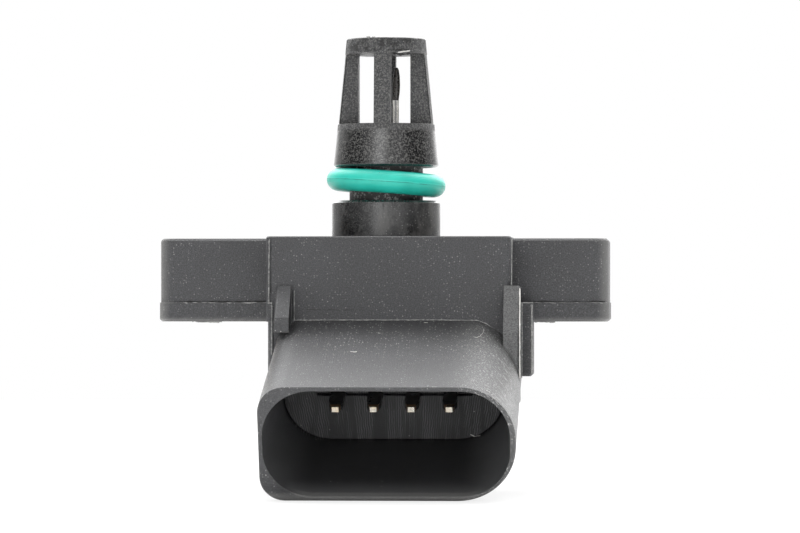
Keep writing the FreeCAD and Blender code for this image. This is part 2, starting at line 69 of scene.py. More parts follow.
# The plug shroud's own axes: u to the right, v upwards and w outwards from the centre of its rim
PLUG_CENTRE = (1.95, -29.45, -21.73)
PLUG_TILT = 21.0

# The shroud's rounded upper right: the arc's centre in u and v, and a radius just outside the surface
SHROUD_ARC_U = 7.51
SHROUD_ARC_V = 0.55
SHROUD_ARC_REACH = 5.95

# The cavity, as a rounded box whose skin lies within the shroud's wall, except on the left: there it comes
# out of the tapered wall where w is below -7.6
CAVITY_CENTRE_U = -0.09
CAVITY_CENTRE_V = -0.04
CAVITY_HALF_U = 7.65
CAVITY_HALF_V = 0.7
CAVITY_CORNER = 5.4
CAVITY_MOUTH_W = -0.12
CAVITY_END_W = -15.6

# Where the moulding's finish changes, each from its first value to its second
NOZZLE_FOOT_Z = (0.0, 0.4)
COLLAR_TOP_Z = (4.4, 3.9)
GROOVE_FOOT_Z = (3.8, 4.0)
GROOVE_HEAD_Z = (8.4, 8.2)
GROOVE_RADIUS = (5.3, 5.0)
SKIRT_FOOT_Z = (7.9, 8.6)
CAGE_FOOT_Z = (11.6, 12.2)
CAP_FOOT_Z = (20.3, 20.5)
BLOCK_FRONT_Y = (-14.05, -14.2)
CAVITY_FLOOR_W = (-13.5, -13.9)
CAVITY_SIDES_U = (7.5, 12.2)
LIP_W = (-4.5, -0.3)
LIP_V = (-4.0, -5.4)
SILL_V = (-5.2, -5.8)
SILL_W = (-1.2, -0.8)
SHROUD_ROOT_W = (-13.2, -15.4)
DUST_W = (-9.0, -13.0)
SCUFFS_START_U = (5.5, 10.0)
SCUFFS_END_U = (12.6, 13.3)
RIB_RIGHT_X = (12.6, 12.8)
BLADE_TIP_W = (-9.56, -9.46)
BLADE_TAPER_W = (-10.2, -9.8)

# The ears. Root, corner and end are distances from the middle of the flange
FLANGE_MIDDLE_X = 0.2
EAR_ROOT = (11.0, 12.0)
EAR_CORNER = (22.6, 23.2)
EAR_END = (23.0, 24.3)
EAR_CORNER_Y = (-4.5, -6.5)
EAR_FACE_Y = (-9.0, -8.6)
EAR_HEM_Z = (-8.5, -9.1)
EAR_UNDERSIDE_Z = (-9.2, -9.3)

# The moulding's colours, besides its own two
NOZZLE_BLACK = (0.002, 0.002, 0.0025)
NOZZLE_GRAIN = (0.1, 0.099, 0.095)
FROST = (0.1, 0.098, 0.094)
BLOTCH = (0.001, 0.001, 0.001)
# Painted shade on the shroud's root, next to the block
ROOT_PAINTED_SHADE = (0.012, 0.012, 0.013)
SALT = (0.36, 0.355, 0.34)
SCRATCH = (0.42, 0.42, 0.41)
HAZE = (0.2, 0.2, 0.195)
# Pale wear on the ears' hems, painted highlight along edges and painted reflection on the ears' ends
WEAR_AND_HIGHLIGHT = (0.16, 0.158, 0.152)
# Painted bounce light from the floor on the sill under the cavity
SILL_PAINTED_LIGHT = (0.17, 0.168, 0.162)
RIB_GRAIN = (0.13, 0.13, 0.128)
# Painted shade inside the plug's cavity
CAVITY_PAINTED_SHADE = (0.011, 0.011, 0.012)
CAVITY_MARKS = (0.085, 0.085, 0.087)
# Painted sheen on the cavity's side walls and lower lip
CAVITY_PAINTED_SHEEN = (0.085, 0.086, 0.088)
# Painted shade in the ring's groove
GROOVE_PAINTED_SHADE = (0.002, 0.002, 0.002)
DUST = (0.3, 0.3, 0.29)

# The plastic's refraction, the radius that its edges are rounded over and what soft ones add to that,
# and the depth of its grain
PLASTIC_IOR = 1.6
EDGE_RADIUS = 0.1
SOFT_EDGE_EXTRA = 0.35
GRAIN_DEPTH = 0.06

# The lines that tooling left on the cavity's floor: radians of a wave to each millimetre across, how that
# rate changes with each millimetre upwards, and how many radians noise may shift them
FLOOR_LINES_RATE = 25.0
FLOOR_LINES_FAN = -0.5
FLOOR_LINES_SWAY = 9.0

# The sealing ring's mould seam lies in its own middle plane
RING_AXIS = (0.068, 0.0, 0.9977)
RING_LEVEL = 6.086

# Studio. A panel of light has an azimuth, an elevation, an inner and an outer angle in degrees, and a
# strength. Azimuth 0 is -Y, and it grows towards +X.
PANELS = (
    (-2, 3, 44, 52, 0.76),
    (34, 3, 6, 18, 0.4),
    (0, 90, 30, 70, 1.4),
    (180, 48, 30, 57, 4.0),
    (180, 0, 70, 80, 0.6),
)
TENT_LEVEL = 0.02
WHITE = (1.0, 1.0, 1.0, 1.0)
FLOOR_GAP = 0.02
FLOOR_RADIUS = 400.0
FLOOR_SIDES = 96
FLOOR_WHITENESS = 0.75


def mm(x, y, z):
    """A point in millimetres as a vector in metres."""
    return Vector((x, y, z)) * MM


def facing(azimuth, elevation):
    """The direction from the part towards an azimuth and an elevation."""
    a = math.radians(azimuth)
    e = math.radians(elevation)
    return Vector((math.sin(a) * math.cos(e), -math.cos(a) * math.cos(e), math.sin(e)))


class Nodes:
    """The shader nodes of a material or a world, added one at a time."""

    def __init__(self, tree):
        self.tree = tree

    def add(self, kind, settings=None, **inputs):
        """A node with some settings and inputs. An input may be a value or another node's output."""
        node = self.tree.nodes.new(kind)
        for key, value in (settings or {}).items():
            setattr(node, key, value)
        for key, value in inputs.items():
            self.put(node, key.replace("_", " "), value)
        return node

    def put(self, node, name, value):
        """Sets or links one input of a node."""
        socket = node.inputs[int(name)] if name.isdigit() else node.inputs[name]
        if isinstance(value, bpy.types.NodeSocket):
            self.tree.links.new(value, socket)
        else:
            socket.default_value = value

    def math(self, operation, first, second=0.0, clamp=False):
        """The result of one operation on one or two values."""
        node = self.add("ShaderNodeMath", {"operation": operation, "use_clamp": clamp})
        self.put(node, "0", first)
        self.put(node, "1", second)
        return node.outputs[0]

    def times(self, product, *others):
        """Several values multiplied."""
        for value in others:
            product = self.math("MULTIPLY", product, value)
        return product

    def plus(self, total, *others):
        """Several values added."""
        for value in others:
            total = self.math("ADD", total, value)
        return total

    def rest(self, value):
        """What a value leaves of 1."""
        return self.math("SUBTRACT", 1.0, value)

    def away(self, value, centre):
        """How far a value lies from a centre, either way."""
        return self.math("ABSOLUTE", self.math("SUBTRACT", value, centre))

    def past(self, value, limit):
        """How far a value lies past a limit, or 0."""
        return self.math("MAXIMUM", self.math("SUBTRACT", value, limit), 0.0)

    def reach(self, across, upright):
        """The length of two distances at right angles."""
        return self.math("SQRT", self.plus(self.times(across, across), self.times(upright, upright)))

    def dot(self, place, axis):
        """How far a place lies along an axis."""
        node = self.add("ShaderNodeVectorMath", {"operation": "DOT_PRODUCT"})
        self.put(node, "0", place)
        self.put(node, "1", axis)
        return node.outputs["Value"]

    def ramp(self, value, low, high, start=0.0, end=1.0):
        """A value carried smoothly from one range to another."""
        node = self.add("ShaderNodeMapRange", {"interpolation_type": "SMOOTHSTEP"}, Value=value)
        for key, number in (("From Min", low), ("From Max", high), ("To Min", start), ("To Max", end)):
            self.put(node, key, number)
        return node.outputs["Result"]

    def blend(self, factor, first, second):
        """A colour between two others."""
        node = self.add("ShaderNodeMix", {"data_type": "RGBA"})
        for index, value in ((0, factor), (6, first), (7, second)):
            if isinstance(value, tuple) and len(value) == 3:
                value = (*value, 1.0)
            self.put(node, str(index), value)
        return node.outputs[2]

    def mix(self, factor, first, second):
        """A shader between two others."""
        node = self.add("ShaderNodeMixShader")
        for index, value in enumerate((factor, first, second)):
            self.put(node, str(index), value)
        return node.outputs[0]


class Shader(Nodes):
    """A material, with what reads the surface's own place."""

    def __init__(self, name):
        self.material = bpy.data.materials.new(name)
        self.material.use_nodes = True
        super().__init__(self.material.node_tree)
        self.surface = self.tree.nodes["Principled BSDF"]
        self.place = self.add("ShaderNodeTexCoord").outputs["Object"]

    def set(self, **inputs):
        """Sets or links inputs of the surface shader."""
        for key, value in inputs.items():
            self.put(self.surface, key.replace("_", " "), value)

    def scaled(self, x, y, z):
        """The object's coordinates, with so many units to each millimetre."""
        node = self.add("ShaderNodeMapping", Vector=self.place)
        node.inputs["Scale"].default_value = (x / MM, y / MM, z / MM)
        return node.outputs["Vector"]

    def axes(self):
        """The point's x, y and z in millimetres."""
        parts = self.add("ShaderNodeSeparateXYZ", Vector=self.scaled(1, 1, 1))
        return [parts.outputs[name] for name in ("X", "Y", "Z")]

    def plug_axes(self):
        """The point's place along the shroud's own axes, in millimetres."""
        shifted = self.add("ShaderNodeVectorMath", {"operation": "SUBTRACT"})
        self.put(shifted, "0", self.scaled(1, 1, 1))
        self.put(shifted, "1", PLUG_CENTRE)
        tilt = math.radians(PLUG_TILT)
        rightwards = (1, 0, 0)
        upwards = (0, -math.sin(tilt), math.cos(tilt))
        outwards = (0, -math.cos(tilt), -math.sin(tilt))
        return [self.dot(shifted.outputs["Vector"], axis) for axis in (rightwards, upwards, outwards)]

    def noise(self, scale, detail=2.0, roughness=0.5, distortion=0.0, place=None):
        """A noise value, with so many waves to each millimetre."""
        if place is None:
            place = self.scaled(scale, scale, scale)
        node = self.add(
            "ShaderNodeTexNoise", Vector=place, Scale=1.0, Detail=detail, Roughness=roughness,
            Distortion=distortion)
        return node.outputs["Fac"]

    def specks(self, scale, size, share, seed):
        """Scattered round specks: so many cells to the millimetre, a share of them filled."""
        shift = self.add("ShaderNodeVectorMath", {"operation": "ADD"})
        self.put(shift, "0", self.scaled(scale, scale, scale))
        self.put(shift, "1", (seed * 7.3, seed * 3.1, seed * 5.7))
        dots = self.add("ShaderNodeTexVoronoi", {"feature": "F1"}, Vector=shift.outputs["Vector"], Scale=1.0)
        near = self.ramp(dots.outputs["Distance"], size, size * 0.4)
        lottery = self.add("ShaderNodeSeparateColor", Color=dots.outputs["Color"])
        return self.times(near, self.ramp(lottery.outputs["Red"], 1 - share, 1.0))

    def streaks(self, turn, length, width, low, high):
        """Thin scratches with one trend, turned about the Y axis by an angle in degrees."""
        node = self.add("ShaderNodeMapping", {"vector_type": "TEXTURE"}, Vector=self.scaled(1, 1, 1))
        node.inputs["Rotation"].default_value = (0, math.radians(turn), 0)
        node.inputs["Scale"].default_value = (length, width, width)
        return self.ramp(self.noise(1.0, distortion=0.3, place=node.outputs["Vector"]), low, high)

    def edges(self, radius):
        """The normal rounded over a radius in metres, and how sharply the surface turns: 1 on an edge."""
        rounded = self.add("ShaderNodeBevel", {"samples": 6}, Radius=radius).outputs["Normal"]
        plain = self.add("ShaderNodeNewGeometry").outputs["Normal"]
        return rounded, self.ramp(self.dot(rounded, plain), 0.99, 0.8)

    def bump(self, height, distance, strength=1.0, normal=None):
        """The surface normal after a small relief, whose depth is in millimetres."""
        node = self.add("ShaderNodeBump", Height=height, Distance=distance * MM, Strength=strength)
        if normal is not None:
            self.put(node, "Normal", normal)
        return node.outputs["Normal"]


class Moulding(Shader):
    """Glass-filled plastic off a fine-eroded mould: grained, salted with pale specks, pale at its edges with
    wear and painted highlight.
    The nozzle is glossier and frosted in patches, the cage is coarse, the plug's cavity, the shroud's root
    and the ring's groove carry painted shade, and the ears' ends and the sill painted light."""

    def __init__(self, name, base, light, roughness):
        super().__init__(name)
        self.find_places()
        self.make_grain()
        colour = self.blend(self.grey, base, light)
        colour = self.dress_nozzle(colour)
        colour = self.dust_shroud(colour)
        # The cavity, painted dark with shade
        colour = self.blend(self.times(self.cavity, 0.95), colour, self.cavity_finish())
        colour = self.soil_groove(colour)
        colour = self.wear_flange(colour)
        colour, rounded = self.wear_edges(colour)
        self.set(
            Base_Color=colour, IOR=PLASTIC_IOR, Roughness=self.gloss(roughness),
            Normal=self.bump(self.relief(), GRAIN_DEPTH, self.relief_share(), rounded),
        )

    def find_places(self):
        """The point's place, and masks for the moulding's regions, each 1 inside and 0 outside."""
        self.u, self.v, self.w = self.plug_axes()
        self.x, self.y, self.z = self.axes()
        self.nozzle = self.ramp(self.z, *NOZZLE_FOOT_Z)
        self.cage = self.ramp(self.z, *CAGE_FOOT_Z)
        self.cavity = self.cavity_mask()
        arc = self.reach(self.past(self.v, SHROUD_ARC_V), self.past(self.u, SHROUD_ARC_U))
        before_block = self.ramp(self.y, *BLOCK_FRONT_Y)
        self.on_shroud = self.times(before_block, self.math("LESS_THAN", arc, SHROUD_ARC_REACH))
        self.shroud_skin = self.times(self.on_shroud, self.rest(self.cavity))
        self.forward = self.times(before_block, self.rest(self.cavity))
        radius = self.reach(self.x, self.y)
        groove_height = self.times(self.ramp(self.z, *GROOVE_FOOT_Z), self.ramp(self.z, *GROOVE_HEAD_Z))
        self.groove = self.times(self.ramp(radius, *GROOVE_RADIUS), groove_height)
        self.outward = self.away(self.x, FLANGE_MIDDLE_X)
        self.sill = self.times(self.ramp(self.v, *SILL_V), self.ramp(self.w, *SILL_W))

    def cavity_mask(self):
        """1 inside the shroud's cavity, by the distance from its rounded box."""
        across = self.past(self.away(self.u, CAVITY_CENTRE_U), CAVITY_HALF_U)
        upright = self.past(self.away(self.v, CAVITY_CENTRE_V), CAVITY_HALF_V)
        inside = self.math("LESS_THAN", self.reach(across, upright), CAVITY_CORNER)
        behind_rim = self.math("LESS_THAN", self.w, CAVITY_MOUTH_W)
        before_end = self.math("GREATER_THAN", self.w, CAVITY_END_W)
        return self.times(inside, behind_rim, before_end)

    def make_grain(self):
        """The noises that several finishes share, and the mottle between the plastic's two colours."""
        self.grain = self.noise(7.0, detail=3.0, roughness=0.75)
        self.cloud = self.noise(0.16, detail=3.0)
        self.coarse = self.ramp(self.noise(5.2, detail=2.0, roughness=0.8), 0.47, 0.6)
        fine = self.ramp(self.grain, 0.43, 0.6)
        self.grey = self.plus(self.times(fine, 0.7), self.times(self.ramp(self.cloud, 0.3, 0.7), 0.25))

    def dress_nozzle(self, colour):
        """A darker nozzle, frosted on the collar, grained pale on skirt and cage, blotched on the cap."""
        patches = self.noise(1.0, detail=5.0, roughness=0.7, place=self.scaled(0.55, 0.55, 0.3))
        collar = self.times(self.nozzle, self.ramp(self.z, *COLLAR_TOP_Z))
        self.frost = self.times(self.ramp(patches, 0.46, 0.66), collar)
        dark = self.times(self.nozzle, self.ramp(self.cage, 0.0, 1.0, 0.8, 0.3))
        colour = self.blend(dark, colour, NOZZLE_BLACK)
        colour = self.blend(self.times(self.frost, 0.6), colour, FROST)
        share = self.ramp(self.z, *SKIRT_FOOT_Z, 0.25, 0.9)
        colour = self.blend(self.times(self.coarse, self.nozzle, share), colour, NOZZLE_GRAIN)
        stains = self.ramp(self.noise(0.85, detail=4.0, roughness=0.7), 0.46, 0.58)
        self.blotch = self.times(stains, self.ramp(self.z, *CAP_FOOT_Z))
        return self.blend(self.times(self.blotch, 0.85), colour, BLOTCH)

    def dust_shroud(self, colour):
        """Painted shade at the root, where the block shades it, pale specks, mostly there and at the right
        corner, and that corner's scuffs and haze.
        """
        # Painted shade: the shroud's top darkens towards the block
        root = self.plus(self.w, self.ramp(self.noise(0.5, detail=3.0), 0.3, 0.7, -1.0, 1.0))
        shade = self.times(self.shroud_skin, self.ramp(root, *SHROUD_ROOT_W, 0.0, 0.55))
        colour = self.blend(shade, colour, ROOT_PAINTED_SHADE)
        fine_salt = self.specks(scale=3.6, size=0.32, share=0.6, seed=1)
        large_salt = self.specks(scale=1.1, size=0.1, share=0.3, seed=2)
        salt = self.plus(fine_salt, self.times(large_salt, 1.7))
        corner = self.times(self.ramp(self.u, *SCUFFS_START_U), self.shroud_skin)
        dusty = self.times(self.shroud_skin, self.ramp(self.w, *DUST_W, 0.2, 0.9))
        salt = self.times(salt, self.plus(0.2, dusty, self.times(corner, 0.7)))
        salt = self.plus(salt, self.times(fine_salt, self.ramp(self.cloud, 0.4, 0.62, 0.05, 0.25)))
        salt = self.math("MULTIPLY", salt, self.rest(self.times(self.cavity, 0.7)), clamp=True)
        colour = self.blend(salt, colour, SALT)
        scratches = self.streaks(turn=52, length=1.5, width=0.09, low=0.56, high=0.7)
        scuffed = self.times(scratches, corner, self.ramp(self.u, *SCUFFS_END_U, 1.0, 0.3))
        colour = self.blend(self.times(scuffed, 0.8), colour, SCRATCH)
        return self.blend(self.times(corner, 0.12), colour, HAZE)

    def cavity_finish(self):
        """The cavity's colour: painted dark with shade, and dusty, tooling lines on its floor, a painted
        sheen at its sides and lip.
        """
        hollow = self.blend(self.specks(scale=1.3, size=0.13, share=0.25, seed=5), CAVITY_PAINTED_SHADE, DUST)
        fan = self.times(self.u, self.plus(FLOOR_LINES_RATE, self.times(self.v, FLOOR_LINES_FAN)))
        wave = self.math("SINE", self.plus(fan, self.times(self.noise(1.1, detail=3.0), FLOOR_LINES_SWAY)))
        floor = self.times(self.ramp(self.w, *CAVITY_FLOOR_W), self.cavity)
        drawn = self.times(self.ramp(wave, -0.3, 1.0), floor, self.ramp(self.v, 2.5, -2.0, 0.3, 1.0))
        stripes = self.noise(1.0, detail=3.0, roughness=0.6, place=self.scaled(1.3, 0.1, 0.1))
        hollow = self.blend(self.times(drawn, self.ramp(stripes, 0.38, 0.62)), hollow, CAVITY_MARKS)
        # Painted sheen: the side walls and the lower lip are lightened
        aside = self.times(self.ramp(self.away(self.u, -0.6), *CAVITY_SIDES_U), self.rest(floor))
        lip = self.times(self.ramp(self.w, *LIP_W), self.ramp(self.v, *LIP_V))
        painted_sheen = self.times(self.math("MAXIMUM", aside, lip), 0.75)
        return self.blend(painted_sheen, hollow, CAVITY_PAINTED_SHEEN)

    def soil_groove(self, colour):
        """Painted shade and pale flecks in the ring's groove."""
        flecks = self.ramp(self.noise(1.3, detail=3.0, roughness=0.8), 0.52, 0.62, 0.0, 0.8)
        # The groove painted dark with shade, with pale dust flecks
        return self.blend(self.times(self.groove, 0.9), colour, self.blend(flecks, GROOVE_PAINTED_SHADE, DUST))

    def wear_flange(self, colour):
        """Pale hems on the ears, painted reflection on their ends' front corners, a paler right rib and
        painted bounce light on the sill under the cavity.
        """
        hem = self.times(self.ramp(self.z, *EAR_HEM_Z), self.rest(self.ramp(self.z, *EAR_UNDERSIDE_Z)))
        hem = self.times(hem, self.ramp(self.outward, *EAR_ROOT), self.ramp(self.y, *EAR_FACE_Y))
        colour = self.blend(self.times(hem, 0.4), colour, WEAR_AND_HIGHLIGHT)
        # Painted reflection on the ears' rounded ends, strongest at their front corners
        end = self.ramp(self.outward, *EAR_END, 0.0, 0.5)
        colour = self.blend(self.times(end, self.ramp(self.y, *EAR_CORNER_Y, 0.15, 1.0)), colour, WEAR_AND_HIGHLIGHT)
        beside_shroud = self.math("SUBTRACT", self.forward, self.on_shroud, clamp=True)
        rib = self.times(self.ramp(self.x, *RIB_RIGHT_X), beside_shroud)
        colour = self.blend(self.times(rib, 0.55, self.ramp(self.grain, 0.3, 0.6)), colour, RIB_GRAIN)
        # Painted light: the floor's bounce on the rim's lower front edge
        return self.blend(self.times(self.sill, 0.45), colour, SILL_PAINTED_LIGHT)

    def wear_edges(self, colour):
        """Pale along the edges, partly wear and partly painted highlight, and the rounded normal. The ears'
        corners and the sill turn softly.
        """
        soft = self.math("MAXIMUM", self.ramp(self.outward, *EAR_CORNER), self.sill)
        radius = self.plus(EDGE_RADIUS, self.times(soft, SOFT_EDGE_EXTRA))
        rounded, edge = self.edges(self.times(radius, MM))
        # Painted edge highlight with some wear, kept faint inside the cavity
        wear_and_painted_light = self.times(edge, self.ramp(self.noise(1.6, detail=3.0), 0.3, 0.6, 0.25, 0.7))
        wear_and_painted_light = self.times(wear_and_painted_light, self.rest(self.times(self.cavity, 0.75)))
        return self.blend(wear_and_painted_light, colour, WEAR_AND_HIGHLIGHT), rounded

    def relief(self):
        """The grain's height, coarser on the cage."""
        return self.plus(self.grain, self.times(self.coarse, self.cage, 0.5))

    def relief_share(self):
        """How much of the grain shows: little on the smooth nozzle below its cage."""
        smooth = self.times(self.nozzle, self.rest(self.cage))
        return self.rest(self.times(smooth, 0.8))

    def gloss(self, roughness):
        """The roughness: low on the nozzle and the shroud, high on cage, frost, blotches and groove."""
        changes = (
            (self.nozzle, -0.29), (self.frost, 0.15), (self.cage, 0.28), (self.blotch, 0.2),
            (self.forward, -0.12), (self.groove, 0.35),
        )
        drift = self.ramp(self.cloud, 0.3, 0.7, -0.03, 0.03)
        return self.plus(roughness, *(self.times(mask, change) for mask, change in changes), drift)


def ring_rubber():
    """Teal fluorocarbon rubber with a soft bloom, tiny pits and a faint mould seam."""
    s = Shader("ring_rubber")
    cloud = s.noise(0.5, detail=3.0)
    fine = s.noise(9.0, detail=3.0)
    colour = s.blend(s.ramp(cloud, 0.3, 0.7), (0.01, 0.4, 0.315), (0.019, 0.47, 0.375))
    colour = s.blend(s.ramp(s.noise(3.2, detail=1.0), 0.77, 0.82), colour, (0.01, 0.2, 0.16))
    rise = s.math("SUBTRACT", s.dot(s.scaled(1, 1, 1), RING_AXIS), RING_LEVEL)
    rise = s.plus(rise, s.ramp(s.noise(0.8, detail=3.0), 0.3, 0.7, -0.03, 0.03))
    seam = s.ramp(s.math("ABSOLUTE", rise), 0.07, 0.02)
    seam = s.times(seam, s.ramp(s.noise(0.7, detail=3.0), 0.4, 0.55, 0.25, 0.75))
    colour = s.blend(seam, colour, (0.006, 0.17, 0.13))
    above = s.ramp(s.away(rise, 0.11), 0.07, 0.02, 0.0, 0.3)
    colour = s.blend(above, colour, (0.12, 0.68, 0.58))
    s.set(
        Base_Color=colour, Roughness=s.ramp(fine, 0.3, 0.7, 0.38, 0.5), IOR=1.46,
        Normal=s.bump(s.plus(fine, cloud), 0.012, 0.4),
    )
    return s.material


def metal(name, base, other, roughness, turned=False):
    """Bare or plated metal with drawn or turned marks and a little tarnish."""
    s = Shader(name)
    place = s.scaled(0.4, 0.4, 9.0) if turned else s.scaled(9.0, 9.0, 0.6)
    marks = s.noise(1.0, detail=3.0, place=place)
    stain = s.noise(0.9, detail=4.0)
    s.set(
        Base_Color=s.blend(s.ramp(stain, 0.35, 0.7), base, other), Metallic=1.0,
        Roughness=s.ramp(marks, 0.25, 0.75, roughness - 0.06, roughness + 0.12),
        Normal=s.bump(marks, 0.01, 0.35),
    )
    return s.material


def contact_metal():
    """Tinned copper blades, bare at the tips, copper-coloured where they taper and painted dark along their
    length for the cavity's shade and dark reflection.
    """
    s = Shader("contact_metal")
    w = s.plug_axes()[2]
    stain = s.noise(0.9, detail=4.0)
    tip = s.ramp(w, *BLADE_TIP_W)
    taper = s.ramp(w, *BLADE_TAPER_W)
    # Painted shade and dark reflection along the blades, turning copper-coloured at the taper
    wear_and_painted_light = s.blend(taper, (0.012, 0.011, 0.01), (0.36, 0.22, 0.12))
    bare = s.blend(s.ramp(stain, 0.35, 0.7), (1.0, 0.95, 0.84), (1.0, 0.84, 0.62))
    s.set(
        Base_Color=s.blend(tip, wear_and_painted_light, bare), Metallic=taper,
        Roughness=s.ramp(stain, 0.3, 0.7, 0.25, 0.4), Normal=s.bump(stain, 0.01, 0.35),
    )
    return s.material


def plain_solid(name, base, other, roughness, scale, metallic=0.0):
    """A compact material with a fine mottle, for small plain pieces and for the thin lines of dirt, flash,
    painted highlight and painted shade.
    """
    s = Shader(name)
    mottle = s.noise(scale, detail=4.0, roughness=0.6)
    s.set(
        Base_Color=s.blend(s.ramp(mottle, 0.3, 0.7), base, other), Metallic=metallic,
        Roughness=s.ramp(mottle, 0.3, 0.7, roughness - 0.05, roughness + 0.05),
        Normal=s.bump(mottle, 0.01, 0.3),
    )
    return s.material


def clear_solid(name, tint, roughness):
    """Glass or gel, with faint streaks."""
    s = Shader(name)
    streak = s.noise(2.0, detail=2.0)
    s.set(
        Base_Color=s.blend(s.ramp(streak, 0.3, 0.7), tint, (0.9, 0.92, 0.9)), IOR=1.45,
        Transmission_Weight=0.85, Roughness=s.ramp(streak, 0.3, 0.7, roughness, roughness + 0.05),
    )
    return s.material


# Slots with a plain finish: two colours to mottle between, a roughness, the mottle's waves to each
# millimetre and, for silicon, how metallic it is
PLAIN_FINISHES = (
    ("sealant", (0.2, 0.2, 0.19), (0.3, 0.3, 0.29), 0.5, 2.0),
    ("board_ceramic", (0.74, 0.73, 0.69), (0.84, 0.83, 0.8), 0.45, 3.0),
    ("cell_plastic", (0.03, 0.03, 0.03), (0.06, 0.06, 0.06), 0.4, 3.0),
    ("chip_resin", (0.015, 0.015, 0.015), (0.04, 0.04, 0.04), 0.5, 8.0),
    ("bead_coating", (0.012, 0.011, 0.011), (0.05, 0.045, 0.04), 0.28, 3.0),
    ("capacitor_body", (0.3, 0.2, 0.11), (0.42, 0.3, 0.18), 0.45, 6.0),
    ("silicon", (0.1, 0.11, 0.14), (0.16, 0.17, 0.2), 0.16, 5.0, 0.6),
)

# Slots of metal: its colour, its tarnish and a roughness, and True where its marks are turned
METAL_FINISHES = (
    ("bushing_brass", (0.72, 0.52, 0.24), (0.52, 0.36, 0.17), 0.3, True),
    ("tinned_wire", (0.8, 0.79, 0.76), (0.6, 0.58, 0.54), 0.25),
    ("bond_metal", (0.85, 0.85, 0.85), (0.75, 0.75, 0.75), 0.2),
)

# Slots that let light through: a tint and a roughness
CLEAR_FINISHES = (
    ("pedestal_glass", (0.8, 0.88, 0.85), 0.05),
    ("gel", (0.75, 0.8, 0.78), 0.1),
)


def make_materials():
    """A material for each slot of the record."""
    housing = Moulding("housing_plastic", (0.003, 0.0032, 0.0042), (0.04, 0.0405, 0.0445), 0.55)
    cover = Moulding("cover_plastic", (0.02, 0.02, 0.022), (0.055, 0.055, 0.058), 0.42)
    materials = {
        "housing_plastic": housing.material,
        "cover_plastic": cover.material,
        "ring_rubber": ring_rubber(),
        "contact_metal": contact_metal(),
    }
    finishes = ((plain_solid, PLAIN_FINISHES), (metal, METAL_FINISHES), (clear_solid, CLEAR_FINISHES))
    for make, rows in finishes:
        materials.update((slot, make(slot, *looks)) for slot, *looks in rows)
    return materials


def dress_nodes(materials):
    """Gives every CAD node the material of its slot."""
    for row in frame["record"]["subparts"]:
        node = frame["nodes"][row["node"]]
        node.data.materials.clear()
        node.data.materials.append(materials[row["material_slot"]])


def on_front(y, *places):
    """Places given by x and z on one plane across the view."""
    return [(x, y, z) for x, z in places]


def in_plug(*places):
    """Places given along the shroud's own axes."""
    sine = math.sin(math.radians(PLUG_TILT))
    cosine = math.cos(math.radians(PLUG_TILT))
    x, y, z = PLUG_CENTRE
    return [(x + u, y - sine * v - cosine * w, z + cosine * v - sine * w) for u, v, w in places]
